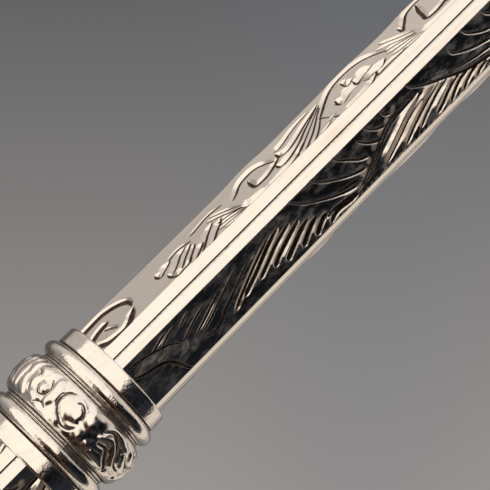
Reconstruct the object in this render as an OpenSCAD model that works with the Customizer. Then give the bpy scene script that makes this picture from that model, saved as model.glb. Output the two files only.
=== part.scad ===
// Silver whistle-and-bells baby rattle, standing on its ribbon ring with the whistle upwards.
// Millimetres. Z is the rattle's axis, and the bottom of the ribbon ring is at z = 0.

/* [Faceted tubes] */
// Width across two opposite wide faces
flat_across = 9; // [8.6:0.1:9.4]
// Width of one wide, engraved face; the four narrow faces follow from it
wide_face = 5.8; // [5.4:0.1:6.2]
// Thickness of the sheet
tube_wall = 0.5; // [0.4:0.05:0.6]
// Radius of the fine groove along each narrow face
groove_r = 0.22; // [0.15:0.01:0.3]
// Length of the upper tube that shows
upper_length = 57.4; // [50:0.2:66]
// Length of the lower tube that shows
lower_length = 24; // [18:1:36]
// Depth of tube held in each collar
tube_seat = 3; // [2:0.5:3.5]

/* [Collars] */
// Diameter of the flat fillet next to a tube
fillet_d = 12.1; // [11.8:0.1:12.6]
// Height of the fillet
fillet_h = 1.9; // [1.6:0.1:2.2]
// Diameter over the half-round bead
bead_d = 13.4; // [13:0.1:14]
// Height of the half-round bead
bead_h = 1.8; // [1.5:0.1:2]
// Height of the cove between the bead and the next piece
cove_h = 0.95; // [0.9:0.05:1.3]
// Height of the cast floral band in the middle collar
band_h = 4.3; // [4:0.1:4.6]
// Diameter over the flowers of the cast band
band_d = 15.1; // [14.7:0.1:15.5]
// Number of flowers round the cast band
flowers = 8; // [6:1:8]

/* [Bell drum] */
// Radius of the girdle that carries the bells
girdle_r = 11.4; // [11.2:0.1:11.5]
// Height of the girdle
girdle_h = 4; // [3.6:0.1:4.4]
// Height of each trumpet-shaped bowl
bowl_h = 10.3; // [10:0.1:12]
// Radius of the lower bowl's neck
lower_neck_r = 6.2; // [6:0.1:6.4]
// Radius of the upper bowl's neck
upper_neck_r = 4.8; // [4.7:0.1:5.2]
// Thickness of the bowls
bowl_wall = 0.6; // [0.5:0.05:0.8]

/* [Bells] */
// Number of bells
bell_count = 6; // [4:1:6]
// Radius of a bell
bell_r = 4.4; // [4:0.1:4.5]
// Thickness of a bell
bell_wall = 0.45; // [0.35:0.05:0.55]
// Radius of the loose pellet in each bell
pellet_r = 1.3; // [1.2:0.05:1.6]
// Distance from the rattle's axis to the bar of a staple
staple_reach = 13.8; // [13.8:0.1:14.6]

/* [Whistle] */
// Outer radius of the whistle's tube
whistle_r = 4; // [3.8:0.1:4.2]
// Length of the whistle above its collar
whistle_length = 17; // [16:0.5:22]
// Length of the sounding window
window_h = 4; // [3.5:0.25:4.5]
// Width of the sounding window
window_w = 4.2; // [3.6:0.1:4.6]

/* [Ribbon ring] */
// Inside radius of the ribbon ring
ring_r = 7; // [6.5:0.1:8]
// Width of the ring's flat inside
ring_w = 2; // [1.8:0.1:2.2]
// Thickness of the ring
ring_t = 1.8; // [1.6:0.1:2]

/* [Hidden] */
$fn = 64;
SMALL_FN = 32; // wires and small holes
LARGE_FN = 128; // the wide sweep of a bowl

SILVER = [0.86, 0.84, 0.80];
IRON = [0.35, 0.34, 0.33];
ROOM = 1; // how far a cutting tool runs past what it cuts
FIT = 0.02; // solder film between two round pieces
RUN = 0.05; // radial running clearance of the ring on its pin
HANG = 0.03; // clearance where one wire loop hangs in another

// faceted section
tube_a = flat_across / 2;
tube_h = wide_face / 2;
narrow_a = (tube_a + tube_h) / sqrt(2);
GROOVE_PROUD = 0.08; // the groove's centre stands this far outside the narrow face

// collar ring, from its cove end to its fillet end
fillet_r = fillet_d / 2;
collar_h = cove_h + bead_h + fillet_h;
BEVEL = 0.25;
COVE_CUT_R = 0.5;
COVE_CUT_OUT = 0.3;
SEAM_R = 0.14;
SEAM_OUT = 0.05; // the seam groove's centre stands this far outside the fillet
SOCKET_GAP = 0.1; // between the sleeve and a tube's inside
sleeve_r = tube_a - tube_wall - SOCKET_GAP;
SLEEVE_WALL = 0.6;
SLEEVE_OVERLAP = 9; // length of the sleeve inside each tube
END_BORE_R = 3;

// ribbon ring, its knuckle and the fork that carries it
ring_z = ring_r + ring_t;
KNUCKLE_R = 1.35;
KNUCKLE_W = 2.4;
KNUCKLE_RISE = 1.45; // pin height above the top of the ring
PIN_R = 0.5;
EAR_GAP = 0.07;
EAR_W = 0.9;
LUG_HALF = 0.8; // half the depth of the ring's lug and of the fork's ears
PIN_HEAD_R = 0.75;
PIN_HEAD_T = 0.2;
FORK_H = 2.2; // from the pin to the fork's plate
PLATE_T = 0.85;
PLATE_R = 2.4;
pin_z = ring_z + ring_r + ring_t + KNUCKLE_RISE;

// pommel
cap_z = pin_z + FORK_H + PLATE_T;
CAP_NECK_H = 1;
NECK_ROOT_H = 1.4; // the neck runs this far up, into the dome
NECK_COVE_R = 0.5;
NECK_COVE_OUT = 0.1; // the cove's centre stands this far outside the neck
NECK_FLANGE = 0.05;
DOME_H = 5.5;
DOME_R = 6.05;
CAP_WALL = 0.7;
dome_ball_r = (DOME_R * DOME_R + DOME_H * DOME_H) / (2 * DOME_H);
pommel_collar_z = cap_z + CAP_NECK_H + DOME_H;

// stack of the handle
lower_tube_z = pommel_collar_z + collar_h;
lower_ring_z = lower_tube_z + lower_length;
band_z = lower_ring_z + collar_h;
upper_ring_z = band_z + band_h;
upper_tube_z = upper_ring_z + collar_h;
head_collar_z = upper_tube_z + upper_length;

// drum
drum_z = head_collar_z + collar_h;
girdle_z = drum_z + bowl_h + girdle_h / 2; // middle of the girdle
RIM_R = girdle_r - 0.2;
GIRDLE_WALL = 1.2;

// staples, links and shank loops
STAPLE_WIRE = 0.4;
STAPLE_BEND = 0.9;
STAPLE_HALF = 2.2; // half the distance between a staple's legs
STAPLE_ROOT = 10; // where a leg ends inside the drum
LOOP_WIRE = 0.35;
LINK_R = 1.6;
SHANK_R = 1.5;
link_drop = LINK_R - LOOP_WIRE - STAPLE_WIRE - HANG;
link_foot_drop = link_drop + LINK_R;
shank_drop = link_foot_drop + SHANK_R - 2 * LOOP_WIRE - HANG;
SHANK_SET = 0.1; // the shank loop's wire centre above the crown
bell_drop = shank_drop + SHANK_R + bell_r - SHANK_SET;
LIP_R = 0.2;
LIP_H = 0.35;
SLOT_W = 0.8;
SLOT_END_R = 0.95;
SLOT_END_TILT = 52;
PELLET_GAP = 0.03;
pellet_drop = bell_r - bell_wall - pellet_r - PELLET_GAP;

// whistle
whistle_collar_z = girdle_z + girdle_h / 2 + bowl_h;
WHISTLE_COLLAR_H = 3;
COLLAR_BEAD_R = 0.84;
COLLAR_BEAD_Z = 1.26; // middle of the whistle collar's bead
WHISTLE_WALL = 0.5;
WHISTLE_SEAT = 2; // length of whistle tube inside its collar
WINDWAY = 0.8;
BLOCK_H = 6.5;
PLUG_H = 0.8;
PLUG_RISE = 1.5;
WINDOW_DEPTH = 1.7; // clears the curved wall at the window's sides
RAMP_H = 4.5;
RAMP_DEPTH = 1.1; // how deep the ramp is where it meets the window
LAP = 0.01; // overlap of two cuts that meet
BEAK_LEAN = 24;
BEAK_H = 6.2; // the beak's slope starts this far below the mouth end
BEAD_WIRE = 0.45;
whistle_z = whistle_collar_z + WHISTLE_COLLAR_H;
whistle_top = whistle_z + whistle_length;
whistle_bore_r = whistle_r - WHISTLE_WALL;
window_top = whistle_top - BLOCK_H;
window_foot = window_top - window_h;

// ---- shared shapes ----

// Square with cut corners: a is half the width across the wide faces, h half a wide face
module octagon(a, h) {
    polygon([[a, h], [h, a], [-h, a], [-a, h], [-a, -h], [-h, -a], [h, -a], [a, -h]]);
}

// Faceted tube with a fine groove along each narrow face
module faceted_tube(length) {
    linear_extrude(length)
        difference() {
            octagon(tube_a, tube_h);
            octagon(tube_a - tube_wall, tube_h - tube_wall * (sqrt(2) - 1));
            for (q = [45:90:315])
                rotate(q) translate([narrow_a + GROOVE_PROUD, 0]) circle(groove_r, $fn = SMALL_FN);
        }
}

// Half section of a collar ring: cove at the foot, half-round bead, bevelled fillet on top
module collar_section() {
    difference() {
        union() {
            polygon([[0, 0], [fillet_r, 0], [fillet_r, collar_h - BEVEL],
                     [fillet_r - BEVEL, collar_h], [0, collar_h]]);
            translate([bead_d / 2 - bead_h / 2, cove_h + bead_h / 2]) circle(bead_h / 2);
        }
        translate([fillet_r + COVE_CUT_OUT, cove_h / 2]) circle(COVE_CUT_R);
        translate([fillet_r + SEAM_OUT, cove_h + bead_h + SEAM_R / 2]) circle(SEAM_R);
    }
}

// Collar ring with the socket for a faceted tube in its fillet end
module collar_ring(bore_r) {
    difference() {
        rotate_extrude() collar_section();
        translate([0, 0, collar_h - tube_seat])
            linear_extrude(tube_seat + ROOM) octagon(tube_a, tube_h);
        translate([0, 0, -ROOM]) cylinder(r = bore_r, h = collar_h + 2 * ROOM);
    }
}

// The same ring with its fillet facing down
module collar_ring_down(bore_r) {
    translate([0, 0, collar_h]) mirror([0, 0, 1]) collar_ring(bore_r);
}

// Ring of round wire about the Z axis
module wire_loop(r, wire) {
    rotate_extrude() translate([r, 0]) circle(wire, $fn = SMALL_FN);
}

// Round about the drum: places its child at the bar of staple i, with X pointing outwards
module at_staple(i) {
    rotate([0, 0, (i - 1) * 360 / bell_count]) translate([staple_reach, 0, girdle_z]) children();
}

// ---- ribbon ring ----

module ribbon_ring() {
    color(SILVER) difference() {
        union() {
            translate([0, 0, ring_z]) rotate([90, 0, 0]) rotate_extrude() {
                translate([ring_r, -ring_w / 2]) square([ring_t - ring_w / 2, ring_w]);
                intersection() {
                    translate([ring_r + ring_t - ring_w / 2, 0]) circle(ring_w / 2);
                    translate([ring_r, -ring_w]) square([ring_w * 2, ring_w * 2]);
                }
            }
            translate([-KNUCKLE_W / 2, 0, pin_z]) rotate([0, 90, 0]) cylinder(r = KNUCKLE_R, h = KNUCKLE_W);
            translate([-KNUCKLE_W / 2, -LUG_HALF, pin_z - KNUCKLE_RISE - ring_t / 2])
                cube([KNUCKLE_W, 2 * LUG_HALF, KNUCKLE_RISE + ring_t / 2]);
        }
        translate([-KNUCKLE_W, 0, pin_z]) rotate([0, 90, 0]) cylinder(r = PIN_R + RUN, h = KNUCKLE_W * 2);
    }
}

module ring_pin() {
    half = KNUCKLE_W / 2 + EAR_GAP + EAR_W;
    color(SILVER) {
        translate([-half, 0, pin_z]) rotate([0, 90, 0]) cylinder(r = PIN_R, h = 2 * half);
        for (side = [-1, 1])
            translate([side < 0 ? -half - PIN_HEAD_T : half, 0, pin_z])
                rotate([0, 90, 0]) cylinder(r = PIN_HEAD_R, h = PIN_HEAD_T);
    }
}

module ring_fork() {
    inner = KNUCKLE_W / 2 + EAR_GAP;
    color(SILVER) difference() {
        union() {
            for (side = [0, 1]) mirror([side, 0, 0]) {
                translate([inner, 0, pin_z]) rotate([0, 90, 0]) cylinder(r = KNUCKLE_R, h = EAR_W);
                translate([inner, -LUG_HALF, pin_z]) cube([EAR_W, 2 * LUG_HALF, FORK_H + PLATE_T / 2]);
            }
            translate([0, 0, pin_z + FORK_H]) cylinder(r = PLATE_R, h = PLATE_T);
        }
        translate([-PLATE_R * 2, 0, pin_z]) rotate([0, 90, 0]) cylinder(r = PIN_R + FIT, h = PLATE_R * 4);
    }
}

// ---- pommel ----

// Half disc of the dome's section: a ball of radius r about the dome's centre, between two heights
module dome_section(r, foot, top) {
    intersection() {
        translate([0, CAP_NECK_H + dome_ball_r]) circle(r);
        translate([0, foot]) square([DOME_R * 2, top - foot]);
    }
}

// Narrow neck under a hollow dome, which is open at the top
module pommel_cap() {
    dome_top = CAP_NECK_H + DOME_H;
    color(SILVER) translate([0, 0, cap_z]) rotate_extrude() difference() {
        union() {
            dome_section(dome_ball_r, CAP_NECK_H, dome_top);
            square([PLATE_R, NECK_ROOT_H]);
        }
        dome_section(dome_ball_r - CAP_WALL, CAP_NECK_H + 2 * CAP_WALL, dome_top + ROOM);
        translate([PLATE_R + NECK_COVE_OUT, NECK_FLANGE + NECK_COVE_R]) circle(NECK_COVE_R);
    }
}

module pommel_collar() {
    color(SILVER) translate([0, 0, pommel_collar_z]) collar_ring(END_BORE_R);
}

// ---- handle ----

module lower_tube() {
    color(SILVER) translate([0, 0, lower_tube_z - tube_seat]) faceted_tube(lower_length + 2 * tube_seat);
}

module upper_tube() {
    color(SILVER) translate([0, 0, upper_tube_z - tube_seat]) faceted_tube(upper_length + 2 * tube_seat);
}

module lower_ring() {
    color(SILVER) translate([0, 0, lower_ring_z]) collar_ring_down(sleeve_r + FIT);
}

module upper_ring() {
    color(SILVER) translate([0, 0, upper_ring_z]) collar_ring(sleeve_r + FIT);
}

module joining_sleeve() {
    foot = lower_ring_z - SLEEVE_OVERLAP;
    height = upper_tube_z + SLEEVE_OVERLAP - foot;
    color(SILVER) translate([0, 0, foot]) difference() {
        cylinder(r = sleeve_r, h = height);
        translate([0, 0, -ROOM]) cylinder(r = sleeve_r - SLEEVE_WALL, h = height + 2 * ROOM);
    }
}

// One flower of the cast band: a round boss between two curled stems, and a bud before the next one
module flower() {
    boss = 1.15;
    curl = 0.8;
    stem = 0.4;
    stem_in = 0.25; // the curls lie this far below the boss
    stem_rise = 0.55; // one curl above the middle, one below
    stem_turn = 13; // angle from the boss to a curl
    bud = 0.6;
    bud_in = 0.4;
    reach = band_d / 2;
    translate([reach - boss, 0, 0]) sphere(boss);
    for (side = [-1, 1])
        rotate([0, 0, side * stem_turn]) translate([reach - stem - stem_in, 0, side * stem_rise])
            rotate([0, 90, 0]) wire_loop(curl, stem);
    rotate([0, 0, 180 / flowers]) translate([reach - bud - bud_in, 0, 0]) sphere(bud);
}

module cast_band() {
    swell = 3.2;
    relief = 0.65; // how far the flowers stand out of the swell
    color(SILVER) translate([0, 0, band_z]) difference() {
        union() {
            rotate_extrude() intersection() {
                translate([band_d / 2 - relief - swell, band_h / 2]) circle(swell);
                square([band_d, band_h]);
            }
            for (i = [1:flowers])
                rotate([0, 0, (i + 1 / 2) * 360 / flowers]) translate([0, 0, band_h / 2]) flower();
        }
        translate([0, 0, -ROOM]) cylinder(r = sleeve_r + FIT, h = band_h + 2 * ROOM);
    }
}

module head_collar() {
    color(SILVER) translate([0, 0, head_collar_z]) collar_ring_down(END_BORE_R);
}

// ---- drum ----

// Half section of a trumpet-shaped bowl, from its neck at height 0 to its rim
module bowl_section(neck_r, wall) {
    rim = RIM_R - wall;
    neck = neck_r - wall;
    cove_x = (bowl_h * bowl_h / (rim - neck) + rim + neck) / 2;
    difference() {
        square([rim, bowl_h]);
        translate([cove_x, 0]) circle(cove_x - neck, $fn = LARGE_FN);
    }
}

module bowl(neck_r) {
    difference() {
        rotate_extrude() bowl_section(neck_r, 0);
        rotate_extrude() bowl_section(neck_r, bowl_wall);
    }
}

module lower_bowl() {
    color(SILVER) translate([0, 0, drum_z]) bowl(lower_neck_r);
}

module upper_bowl() {
    color(SILVER) translate([0, 0, whistle_collar_z]) mirror([0, 0, 1]) bowl(upper_neck_r);
}

module girdle() {
    inner = girdle_r - GIRDLE_WALL;
    lip = 0.3;
    color(SILVER) translate([0, 0, girdle_z]) difference() {
        rotate_extrude() {
            translate([inner, -girdle_h / 2]) square([GIRDLE_WALL - lip / 2, girdle_h]);
            for (side = [-1, 1])
                translate([girdle_r - lip, side * (girdle_h / 2 - lip)]) circle(lip);
        }
        for (i = [1:bell_count], side = [-1, 1])
            rotate([0, 0, (i - 1) * 360 / bell_count])
                translate([STAPLE_ROOT - ROOM, side * STAPLE_HALF, 0])
                    rotate([0, 90, 0]) cylinder(r = STAPLE_WIRE + FIT, h = ROOM * 4, $fn = SMALL_FN);
    }
}

// U-shaped wire: two legs through the girdle and a bar outside it
module staple() {
    leg = staple_reach - STAPLE_BEND - STAPLE_ROOT;
    bar = STAPLE_HALF - STAPLE_BEND;
    for (side = [-1, 1]) {
        translate([-staple_reach + STAPLE_ROOT, side * STAPLE_HALF, 0])
            rotate([0, 90, 0]) cylinder(r = STAPLE_WIRE, h = leg, $fn = SMALL_FN);
        translate([-STAPLE_BEND, side * bar, 0])
            rotate([0, 0, side < 0 ? -90 : 0])
                rotate_extrude(angle = 90) translate([STAPLE_BEND, 0]) circle(STAPLE_WIRE, $fn = SMALL_FN);
    }
    translate([0, -bar, 0]) rotate([-90, 0, 0]) cylinder(r = STAPLE_WIRE, h = 2 * bar, $fn = SMALL_FN);
}

module staples() {
    color(SILVER) for (i = [1:bell_count]) at_staple(i) staple();
}

// ---- bells ----

module bell_link(i) {
    color(SILVER) at_staple(i) translate([0, 0, -link_drop]) rotate([90, 0, 0]) wire_loop(LINK_R, LOOP_WIRE);
}

// Upper half of a bell with its shank loop
module bell_crown(i) {
    color(SILVER) at_staple(i) translate([0, 0, -bell_drop]) difference() {
        union() {
            difference() {
                sphere(bell_r);
                translate([0, 0, -bell_r - ROOM]) cylinder(r = bell_r * 2, h = bell_r + ROOM);
            }
            cylinder(r = bell_r + LIP_R, h = LIP_H);
            translate([0, 0, bell_drop - shank_drop]) rotate([0, 90, 0]) wire_loop(SHANK_R, LOOP_WIRE);
        }
        sphere(bell_r - bell_wall);
    }
}

// Lower half of a bell with its dumb-bell-shaped mouth
module bell_mouth(i) {
    color(SILVER) at_staple(i) translate([0, 0, -bell_drop]) difference() {
        union() {
            difference() {
                sphere(bell_r);
                cylinder(r = bell_r * 2, h = bell_r + ROOM);
            }
            translate([0, 0, -LIP_H]) cylinder(r = bell_r + LIP_R, h = LIP_H);
        }
        sphere(bell_r - bell_wall);
        intersection() {
            translate([-SLOT_W / 2, -bell_r, -bell_r - ROOM]) cube([SLOT_W, 2 * bell_r, bell_r + ROOM]);
            rotate([0, 90, 0]) translate([0, 0, -bell_r]) linear_extrude(2 * bell_r)
                polygon([[0, 0], [bell_r * 2, -bell_r * 2 * tan(SLOT_END_TILT)],
                         [bell_r * 2, bell_r * 2 * tan(SLOT_END_TILT)]]);
        }
        for (side = [-1, 1])
            rotate([180 + side * SLOT_END_TILT, 0, 0]) cylinder(r = SLOT_END_R, h = bell_r + ROOM, $fn = SMALL_FN);
    }
}

module bell_pellet(i) {
    color(IRON) at_staple(i) translate([0, 0, -bell_drop - pellet_drop]) sphere(pellet_r, $fn = SMALL_FN);
}

// ---- whistle ----

module whistle_collar() {
    color(SILVER) translate([0, 0, whistle_collar_z]) difference() {
        rotate_extrude() {
            polygon([[0, 0], [upper_neck_r, 0], [upper_neck_r, WHISTLE_COLLAR_H - BEVEL],
                     [upper_neck_r - BEVEL, WHISTLE_COLLAR_H], [0, WHISTLE_COLLAR_H]]);
            translate([upper_neck_r, COLLAR_BEAD_Z]) circle(COLLAR_BEAD_R);
        }
        translate([0, 0, WHISTLE_COLLAR_H - WHISTLE_SEAT])
            cylinder(r = whistle_r + FIT, h = WHISTLE_SEAT + ROOM);
        translate([0, 0, -ROOM]) cylinder(r = END_BORE_R, h = WHISTLE_COLLAR_H + 2 * ROOM);
    }
}

// Flat beak that slopes both the tube and its block at the mouth end
module beak_cut() {
    translate([0, whistle_r, whistle_top - BEAK_H]) rotate([BEAK_LEAN, 0, 0])
        translate([-whistle_r * 2, 0, 0]) cube([whistle_r * 4, whistle_r * 2, BLOCK_H * 2]);
}

module whistle_tube() {
    color(SILVER) difference() {
        translate([0, 0, whistle_z - WHISTLE_SEAT]) difference() {
            cylinder(r = whistle_r, h = whistle_length + WHISTLE_SEAT);
            translate([0, 0, -ROOM])
                cylinder(r = whistle_bore_r, h = whistle_length + WHISTLE_SEAT + 2 * ROOM);
        }
        translate([-window_w / 2, -whistle_r - ROOM, window_foot])
            cube([window_w, ROOM + WINDOW_DEPTH, window_h]);
        translate([-window_w / 2, 0, 0]) rotate([90, 0, 90]) linear_extrude(window_w)
            polygon([[-whistle_r - ROOM, window_foot - RAMP_H], [-whistle_r, window_foot - RAMP_H],
                     [RAMP_DEPTH - whistle_r, window_foot + LAP], [-whistle_r - ROOM, window_foot + LAP]]);
        beak_cut();
    }
}

module fipple_block() {
    color(SILVER) difference() {
        translate([0, 0, window_top]) cylinder(r = whistle_bore_r - FIT, h = BLOCK_H);
        translate([-whistle_r, -whistle_bore_r - ROOM, window_top - ROOM])
            cube([2 * whistle_r, WINDWAY + ROOM, BLOCK_H + 2 * ROOM]);
        beak_cut();
    }
}

module floor_plug() {
    color(SILVER) translate([0, 0, whistle_z + PLUG_RISE])
        cylinder(r = whistle_bore_r - FIT, h = PLUG_H);
}

module whistle_bead() {
    color(SILVER) translate([0, 0, whistle_z + PLUG_RISE]) difference() {
        rotate_extrude() translate([whistle_r + BEAD_WIRE / 2, 0]) circle(BEAD_WIRE, $fn = SMALL_FN);
        translate([0, 0, -ROOM]) cylinder(r = whistle_r + FIT, h = 2 * ROOM);
    }
}

ribbon_ring();
ring_pin();
ring_fork();
pommel_cap();
pommel_collar();
lower_tube();
lower_ring();
cast_band();
upper_ring();
joining_sleeve();
upper_tube();
head_collar();
lower_bowl();
girdle();
staples();
upper_bowl();
whistle_collar();
whistle_tube();
fipple_block();
floor_plug();
whistle_bead();
for (i = [1:bell_count]) {
    bell_link(i);
    bell_crown(i);
    bell_mouth(i);
    bell_pellet(i);
}
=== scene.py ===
"""Engraved silver baby rattle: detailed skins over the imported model, materials, light and camera."""
import math

import bpy
import numpy as np
from mathutils import Matrix, Vector


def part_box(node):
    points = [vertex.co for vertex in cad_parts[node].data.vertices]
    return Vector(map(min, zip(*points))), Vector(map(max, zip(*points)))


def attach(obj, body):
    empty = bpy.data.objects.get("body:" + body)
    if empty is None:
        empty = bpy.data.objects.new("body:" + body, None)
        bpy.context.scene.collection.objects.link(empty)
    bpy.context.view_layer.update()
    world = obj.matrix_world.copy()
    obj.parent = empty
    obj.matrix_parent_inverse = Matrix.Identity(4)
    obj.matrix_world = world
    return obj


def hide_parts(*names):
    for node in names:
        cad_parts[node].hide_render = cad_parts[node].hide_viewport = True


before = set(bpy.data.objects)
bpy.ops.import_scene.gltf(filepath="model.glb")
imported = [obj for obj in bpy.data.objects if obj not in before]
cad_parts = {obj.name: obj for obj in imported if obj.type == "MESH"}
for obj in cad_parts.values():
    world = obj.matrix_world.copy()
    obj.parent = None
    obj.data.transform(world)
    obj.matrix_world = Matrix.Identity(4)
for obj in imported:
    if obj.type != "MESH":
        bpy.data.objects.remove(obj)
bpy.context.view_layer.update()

MM = 0.001
SEED = 11


def low(node):
    """Lower end of a CAD node, in mm."""
    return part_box(node)[0][2] / MM


def high(node):
    """Upper end of a CAD node, in mm."""
    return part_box(node)[1][2] / MM


# ---------------------------------------------------------------- sizes in mm, as in the CAD
FACE_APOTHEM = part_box("upper_tube")[1][0] / MM
FACE_HALF = 2.9  # half the width of a wide face
NARROW = (FACE_APOTHEM - FACE_HALF) * math.sqrt(2)  # width of a narrow face
COLLAR_TOP = high("upper_ring")
BAND_Z0, BAND_Z1 = low("cast_band"), high("cast_band")
HEAD_FOOT = low("head_collar")
LOWER_TOP = low("lower_ring")
POMMEL_TOP = high("pommel_collar")
TUCK = 1.6  # how far a tube's skin runs on inside the collar that holds it


# ---------------------------------------------------------------- mesh helpers
def mesh_from_arrays(name, verts_mm, quads, attrs):
    """Smooth-shaded mesh from an (n, 3) array in mm, an (m, 4) array of corner indices and point values."""
    mesh = bpy.data.meshes.new(name)
    n, m = len(verts_mm), len(quads)
    mesh.vertices.add(n)
    mesh.vertices.foreach_set("co", (verts_mm * MM).astype(np.float32).ravel())
    mesh.loops.add(4 * m)
    mesh.loops.foreach_set("vertex_index", quads.astype(np.int32).ravel())
    mesh.polygons.add(m)
    mesh.polygons.foreach_set("loop_start", np.arange(0, 4 * m, 4, dtype=np.int32))
    mesh.update(calc_edges=True)
    mesh.polygons.foreach_set("use_smooth", np.ones(m, dtype=bool))
    for key, values in attrs.items():
        layer = mesh.attributes.new(key, "FLOAT", "POINT")
        layer.data.foreach_set("value", np.asarray(values, np.float32).ravel())
    mesh.validate()
    return mesh


def add_skin(name, mesh, node, mat):
    """Shows a mesh in place of a CAD node of the rattle's main body."""
    obj = bpy.data.objects.new(name, mesh)
    bpy.context.scene.collection.objects.link(obj)
    mesh.materials.append(mat)
    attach(obj, "rattle")
    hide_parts(node)


def grid_quads(rows, cols, wrap=False):
    """Corner indices of a rows x cols grid; wrap joins the last row to the first."""
    r = np.arange(rows if wrap else rows - 1)
    c = np.arange(cols - 1)
    r, c = np.meshgrid(r, c, indexing="ij")
    nxt = (r + 1) % rows
    return np.stack([r * cols + c, nxt * cols + c, nxt * cols + c + 1, r * cols + c + 1], -1).reshape(-1, 4)


def rounded(points, radius, steps):
    """The same open profile with each inner corner rounded."""
    pts = [np.array(p, float) for p in points]
    out = [pts[0]]
    for a, b, c in zip(pts, pts[1:], pts[2:]):
        la, lc = np.linalg.norm(a - b), np.linalg.norm(c - b)
        r = min(radius, 0.45 * la, 0.45 * lc)
        p, q = b + (a - b) / la * r, b + (c - b) / lc * r
        for t in np.linspace(0, 1, steps + 1):
            out.append((1 - t) ** 2 * p + 2 * t * (1 - t) * b + t * t * q)
    out.append(pts[-1])
    return out


def arc(cx, cz, r, a0, a1, steps):
    """Profile points on a circle about (cx, cz), from angle a0 to a1 in degrees; 0 is outwards."""
    return [(cx + r * math.cos(math.radians(a)), cz + r * math.sin(math.radians(a)))
            for a in np.linspace(a0, a1, steps + 1)]


def resample(points, step):
    """The profile cut into pieces no longer than step."""
    out = [np.array(points[0], float)]
    for a, b in zip(points, points[1:]):
        a, b = np.array(a, float), np.array(b, float)
        n = max(1, int(math.ceil(np.linalg.norm(b - a) / step)))
        out += [a + (b - a) * k / n for k in range(1, n + 1)]
    return np.array(out)


def smooth(x, lo, hi):
    """0 below lo, 1 above hi, smooth between."""
    t = np.clip((x - lo) / (hi - lo), 0, 1)
    return t * t * (3 - 2 * t)


# ---------------------------------------------------------------- shader helpers
class Nodes:
    """Shorthand for building a node tree."""

    def __init__(self, tree):
        self.tree = tree
        tree.nodes.clear()

    def add(self, kind, **values):
        node = self.tree.nodes.new(kind)
        for key, value in values.items():
            setattr(node, key, value)
        return node

    def wire(self, value, socket):
        """Links an output to the socket, or sets the socket to a plain value."""
        if isinstance(value, bpy.types.NodeSocket):
            self.tree.links.new(value, socket)
        else:
            socket.default_value = value

    def math(self, op, *values, clamp=False):
        node = self.add("ShaderNodeMath", operation=op, use_clamp=clamp)
        for socket, value in zip(node.inputs, values):
            self.wire(value, socket)
        return node.outputs[0]

    def plus(self, a, b):
        return self.math("ADD", a, b)

    def times(self, a, b):
        return self.math("MULTIPLY", a, b)

    def rest(self, a):
        """What a leaves of 1."""
        return self.math("SUBTRACT", 1.0, a)

    def ramp01(self, value, lo, hi):
        """0 below lo, 1 above hi, smooth between."""
        node = self.add("ShaderNodeMapRange", interpolation_type="SMOOTHSTEP")
        for key, v in (("Value", value), ("From Min", lo), ("From Max", hi)):
            self.wire(v, node.inputs[key])
        return node.outputs[0]

    def between(self, x, span, soft):
        """1 where x lies in the span, with soft edges."""
        after_start, past_end = (self.ramp01(x, edge - soft, edge + soft) for edge in span)
        return self.times(after_start, self.rest(past_end))

    def mix(self, fac, a, b):
        node = self.add("ShaderNodeMix", data_type="RGBA")
        self.wire(fac, node.inputs[0])
        self.wire(a, node.inputs[6])
        self.wire(b, node.inputs[7])
        return node.outputs[2]

    def stretched(self, coords, scale, turn=(0.0, 0.0, 0.0)):
        node = self.add("ShaderNodeMapping")
        self.wire(coords, node.inputs["Vector"])
        self.wire(scale, node.inputs["Scale"])
        self.wire(turn, node.inputs["Rotation"])
        return node.outputs[0]

    def noise(self, coords, scale, detail, rough):
        node = self.add("ShaderNodeTexNoise")
        for key, v in (("Vector", coords), ("Scale", scale), ("Detail", detail), ("Roughness", rough)):
            self.wire(v, node.inputs[key])
        return node.outputs[0]

    def bump(self, height, distance, bsdf):
        node = self.add("ShaderNodeBump")
        self.wire(height, node.inputs["Height"])
        self.wire(distance, node.inputs["Distance"])
        self.wire(node.outputs[0], bsdf.inputs["Normal"])


def new_material(name):
    """Material with a Principled shader: itself, its nodes, the shader and the object's coordinates."""
    mat = bpy.data.materials.new(name)
    mat.use_nodes = True
    n = Nodes(mat.node_tree)
    bsdf = n.add("ShaderNodeBsdfPrincipled")
    n.wire(bsdf.outputs[0], n.add("ShaderNodeOutputMaterial").inputs[0])
    return mat, n, bsdf, n.add("ShaderNodeTexCoord").outputs["Object"]


# ---------------------------------------------------------------- materials
CLEAN = ((0.93, 0.90, 0.86, 1), (0.89, 0.855, 0.80, 1))
# recess colours: tarnish, and painted shadow in the engraved cuts
TARNISH_AND_SHADE = ((0.026, 0.014, 0.010, 1), (0.10, 0.056, 0.040, 1))
BLACK_TARNISH_AND_SHADE = ((0.004, 0.0025, 0.002, 1), (0.03, 0.016, 0.011, 1))
PATINA = (0.60, 0.60, 0.60, 1)
STREAK = (0.72, 0.60, 0.50, 1)
MATT = (0.80, 0.71, 0.62, 1)
IRON = (0.17, 0.16, 0.155, 1)
RUST = (0.12, 0.055, 0.025, 1)
FLOOR = ((0.74, 0.73, 0.715, 1), (0.79, 0.78, 0.765, 1))

# marks per metre
HAIRS = 9000
PITS = 1900
WAVES = 300
DENTS = 1500
BLOTCHES = 900
SPECKS = 2300
STREAKS = 2600
RUST_PATCHES = 1400
FLOOR_GRAIN = 90
# heights in mm
HAIR_DEPTH = 0.0022
PIT_DEPTH = 0.006
WAVE_DEPTH = 0.022
DENT_DEPTH = 0.03
RUST_DEPTH = 0.03

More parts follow.
